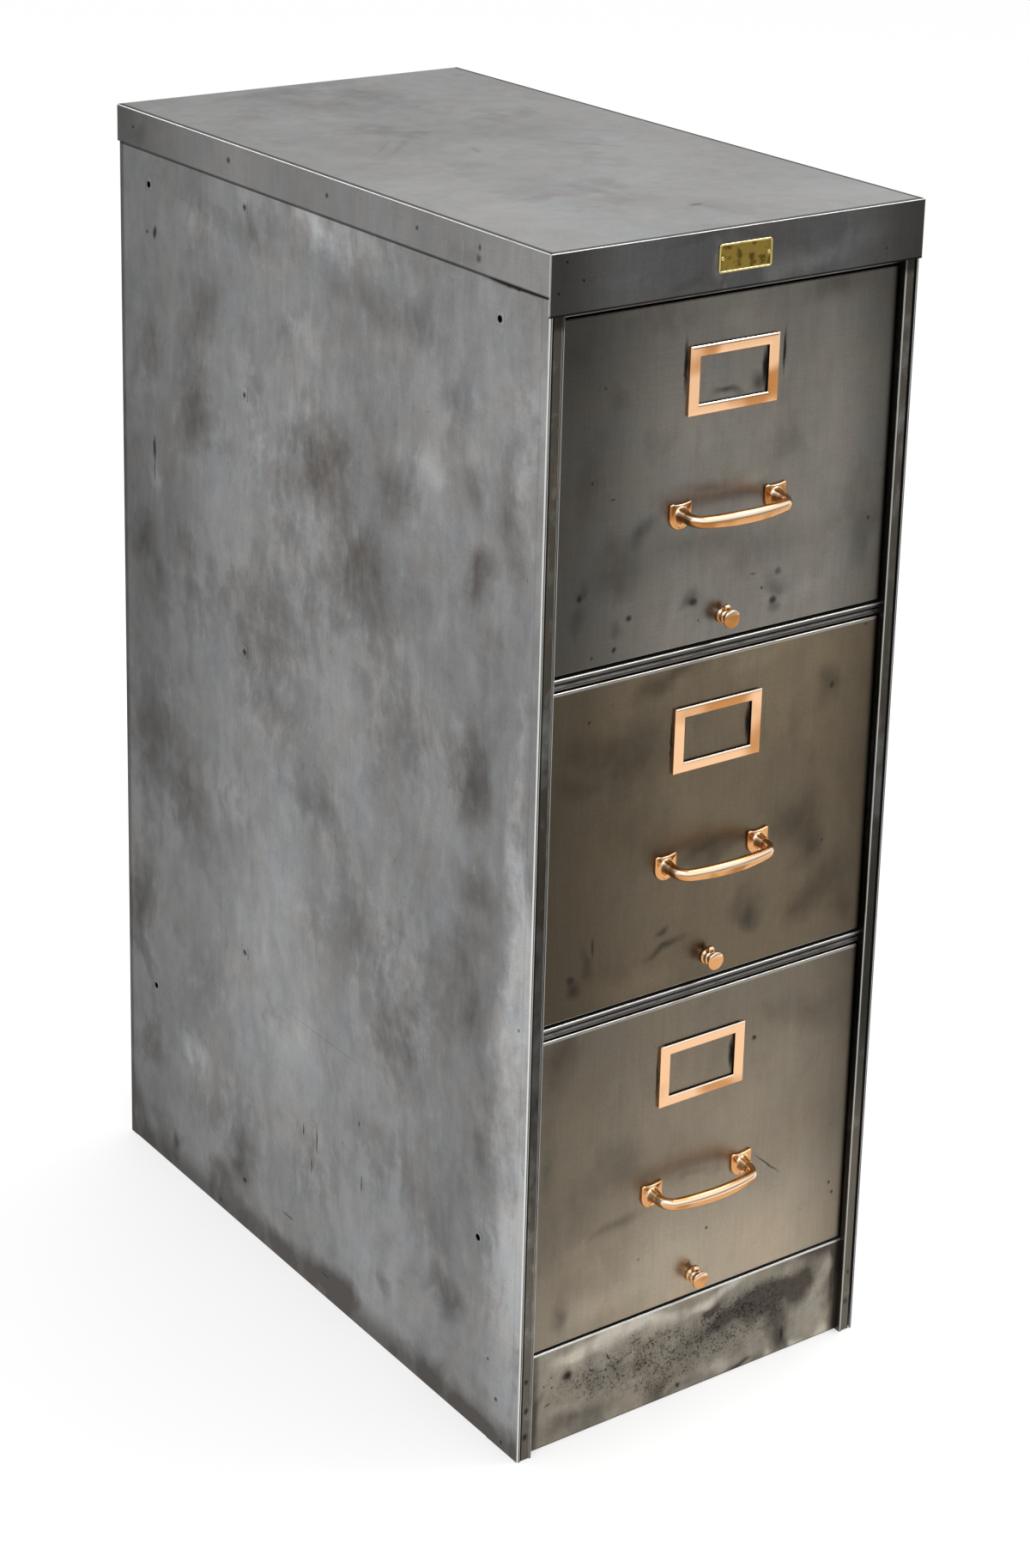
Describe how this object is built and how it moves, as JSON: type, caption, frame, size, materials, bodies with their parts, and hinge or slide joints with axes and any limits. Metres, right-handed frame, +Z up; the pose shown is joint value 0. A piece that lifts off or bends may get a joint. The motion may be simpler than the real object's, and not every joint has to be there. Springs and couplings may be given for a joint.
{
  "type": "filing cabinet",
  "caption": "Tall narrow bare-steel filing cabinet: inset suspension drawers, copper bow pulls, label frames, guide-rod knobs.",
  "frame": {"origin": "on the floor, under the middle of the box that the cabinet and its pulls fill", "axes": "+X to the cabinet's right as seen from the front, +Y to the back, +Z up; the drawers face -Y"},
  "size_m": [0.381, 0.6986, 1.057],
  "materials": {
    "case_steel": "stripped and burnished bare sheet steel, clear waxed",
    "front_steel": "stripped and burnished bare sheet steel, darker patina",
    "slide_steel": "plain rolled steel",
    "copper": "polished copper plate",
    "plate_brass": "polished brass, aged in the low places"
  },
  "bodies": {
    "case": {"top_cap": "case_steel", "left_side_panel": "case_steel", "right_side_panel": "case_steel", "back_panel": "case_steel", "left_front_post": "case_steel", "right_front_post": "case_steel", "rear_uprights": "slide_steel", "header_rail": "front_steel", "lower_rail": "front_steel", "middle_rail": "front_steel", "kick_plate": "front_steel", "bottom_pan": "slide_steel", "case_channels": "slide_steel", "nameplate": "plate_brass", "nameplate_pins": "plate_brass"},
    "lower_drawer": {"lower_drawer_front": "front_steel", "lower_drawer_body": "slide_steel", "lower_drawer_channels": "slide_steel", "lower_label_holder": "copper", "lower_pull": "copper", "lower_pull_screws": "copper", "lower_rod_collar": "copper"},
    "lower_arms": {"lower_roller_arms": "slide_steel"},
    "lower_front_roller_pair": {"lower_front_rollers": "slide_steel"},
    "lower_middle_roller_pair": {"lower_middle_rollers": "slide_steel"},
    "lower_rear_roller_pair": {"lower_rear_rollers": "slide_steel"},
    "lower_rod": {"lower_guide_rod": "slide_steel", "lower_rod_knob": "copper"},
    "lower_catch": {"lower_rod_catch": "copper"},
    "lower_follower_plate": {"lower_follower": "slide_steel"},
    "middle_drawer": {"middle_drawer_front": "front_steel", "middle_drawer_body": "slide_steel", "middle_drawer_channels": "slide_steel", "middle_label_holder": "copper", "middle_pull": "copper", "middle_pull_screws": "copper", "middle_rod_collar": "copper"},
    "middle_arms": {"middle_roller_arms": "slide_steel"},
    "middle_front_roller_pair": {"middle_front_rollers": "slide_steel"},
    "middle_middle_roller_pair": {"middle_middle_rollers": "slide_steel"},
    "middle_rear_roller_pair": {"middle_rear_rollers": "slide_steel"},
    "middle_rod": {"middle_guide_rod": "slide_steel", "middle_rod_knob": "copper"},
    "middle_catch": {"middle_rod_catch": "copper"},
    "middle_follower_plate": {"middle_follower": "slide_steel"},
    "upper_drawer": {"upper_drawer_front": "front_steel", "upper_drawer_body": "slide_steel", "upper_drawer_channels": "slide_steel", "upper_label_holder": "copper", "upper_pull": "copper", "upper_pull_screws": "copper", "upper_rod_collar": "copper"},
    "upper_arms": {"upper_roller_arms": "slide_steel"},
    "upper_front_roller_pair": {"upper_front_rollers": "slide_steel"},
    "upper_middle_roller_pair": {"upper_middle_rollers": "slide_steel"},
    "upper_rear_roller_pair": {"upper_rear_rollers": "slide_steel"},
    "upper_rod": {"upper_guide_rod": "slide_steel", "upper_rod_knob": "copper"},
    "upper_catch": {"upper_rod_catch": "copper"},
    "upper_follower_plate": {"upper_follower": "slide_steel"}
  },
  "joints": [
    {"name": "lower_drawer_slide", "type": "slide", "parent": "case", "child": "lower_drawer", "axis": [0, -1, 0], "range_m": [0, 0.56]},
    {"name": "lower_arms_slide", "type": "slide", "parent": "case", "child": "lower_arms", "axis": [0, -1, 0], "range_m": [0, 0.28]},
    {"name": "lower_front_rollers_spin", "type": "hinge", "parent": "lower_arms", "child": "lower_front_roller_pair", "pos_m": [0, -0.27218, 0.2465], "axis": [1, 0, 0], "range_deg": [0, 1284]},
    {"name": "lower_middle_rollers_spin", "type": "hinge", "parent": "lower_arms", "child": "lower_middle_roller_pair", "pos_m": [0, 0.00782, 0.2465], "axis": [1, 0, 0], "range_deg": [0, 1284]},
    {"name": "lower_rear_rollers_spin", "type": "hinge", "parent": "lower_arms", "child": "lower_rear_roller_pair", "pos_m": [0, 0.26582, 0.2465], "axis": [1, 0, 0], "range_deg": [0, 1284]},
    {"name": "lower_rod_slide", "type": "slide", "parent": "lower_drawer", "child": "lower_rod", "axis": [0, -1, 0], "range_m": [0, 0.6]},
    {"name": "lower_catch_lift", "type": "slide", "parent": "lower_drawer", "child": "lower_catch", "axis": [0, 0, 1], "range_m": [0, 0.002], "stiffness_N_per_m": 300, "springref_m": -0.001},
    {"name": "lower_follower_slide", "type": "slide", "parent": "lower_drawer", "child": "lower_follower_plate", "axis": [0, -1, 0], "range_m": [0, 0.52]},
    {"name": "middle_drawer_slide", "type": "slide", "parent": "case", "child": "middle_drawer", "axis": [0, -1, 0], "range_m": [0, 0.56]},
    {"name": "middle_arms_slide", "type": "slide", "parent": "case", "child": "middle_arms", "axis": [0, -1, 0], "range_m": [0, 0.28]},
    {"name": "middle_front_rollers_spin", "type": "hinge", "parent": "middle_arms", "child": "middle_front_roller_pair", "pos_m": [0, -0.27218, 0.553], "axis": [1, 0, 0], "range_deg": [0, 1284]},
    {"name": "middle_middle_rollers_spin", "type": "hinge", "parent": "middle_arms", "child": "middle_middle_roller_pair", "pos_m": [0, 0.00782, 0.553], "axis": [1, 0, 0], "range_deg": [0, 1284]},
    {"name": "middle_rear_rollers_spin", "type": "hinge", "parent": "middle_arms", "child": "middle_rear_roller_pair", "pos_m": [0, 0.26582, 0.553], "axis": [1, 0, 0], "range_deg": [0, 1284]},
    {"name": "middle_rod_slide", "type": "slide", "parent": "middle_drawer", "child": "middle_rod", "axis": [0, -1, 0], "range_m": [0, 0.6]},
    {"name": "middle_catch_lift", "type": "slide", "parent": "middle_drawer", "child": "middle_catch", "axis": [0, 0, 1], "range_m": [0, 0.002], "stiffness_N_per_m": 300, "springref_m": -0.001},
    {"name": "middle_follower_slide", "type": "slide", "parent": "middle_drawer", "child": "middle_follower_plate", "axis": [0, -1, 0], "range_m": [0, 0.52]},
    {"name": "upper_drawer_slide", "type": "slide", "parent": "case", "child": "upper_drawer", "axis": [0, -1, 0], "range_m": [0, 0.56]},
    {"name": "upper_arms_slide", "type": "slide", "parent": "case", "child": "upper_arms", "axis": [0, -1, 0], "range_m": [0, 0.28]},
    {"name": "upper_front_rollers_spin", "type": "hinge", "parent": "upper_arms", "child": "upper_front_roller_pair", "pos_m": [0, -0.27218, 0.8595], "axis": [1, 0, 0], "range_deg": [0, 1284]},
    {"name": "upper_middle_rollers_spin", "type": "hinge", "parent": "upper_arms", "child": "upper_middle_roller_pair", "pos_m": [0, 0.00782, 0.8595], "axis": [1, 0, 0], "range_deg": [0, 1284]},
    {"name": "upper_rear_rollers_spin", "type": "hinge", "parent": "upper_arms", "child": "upper_rear_roller_pair", "pos_m": [0, 0.26582, 0.8595], "axis": [1, 0, 0], "range_deg": [0, 1284]},
    {"name": "upper_rod_slide", "type": "slide", "parent": "upper_drawer", "child": "upper_rod", "axis": [0, -1, 0], "range_m": [0, 0.6]},
    {"name": "upper_catch_lift", "type": "slide", "parent": "upper_drawer", "child": "upper_catch", "axis": [0, 0, 1], "range_m": [0, 0.002], "stiffness_N_per_m": 300, "springref_m": -0.001},
    {"name": "upper_follower_slide", "type": "slide", "parent": "upper_drawer", "child": "upper_follower_plate", "axis": [0, -1, 0], "range_m": [0, 0.52]}
  ],
  "couplings": [
    {"joint": "lower_arms_slide", "follows": "lower_drawer_slide", "ratio": 0.5},
    {"joint": "lower_front_rollers_spin", "follows": "lower_drawer_slide", "rad_per_m": 40},
    {"joint": "lower_middle_rollers_spin", "follows": "lower_drawer_slide", "rad_per_m": 40},
    {"joint": "lower_rear_rollers_spin", "follows": "lower_drawer_slide", "rad_per_m": 40},
    {"joint": "middle_arms_slide", "follows": "middle_drawer_slide", "ratio": 0.5},
    {"joint": "middle_front_rollers_spin", "follows": "middle_drawer_slide", "rad_per_m": 40},
    {"joint": "middle_middle_rollers_spin", "follows": "middle_drawer_slide", "rad_per_m": 40},
    {"joint": "middle_rear_rollers_spin", "follows": "middle_drawer_slide", "rad_per_m": 40},
    {"joint": "upper_arms_slide", "follows": "upper_drawer_slide", "ratio": 0.5},
    {"joint": "upper_front_rollers_spin", "follows": "upper_drawer_slide", "rad_per_m": 40},
    {"joint": "upper_middle_rollers_spin", "follows": "upper_drawer_slide", "rad_per_m": 40},
    {"joint": "upper_rear_rollers_spin", "follows": "upper_drawer_slide", "rad_per_m": 40}
  ]
}
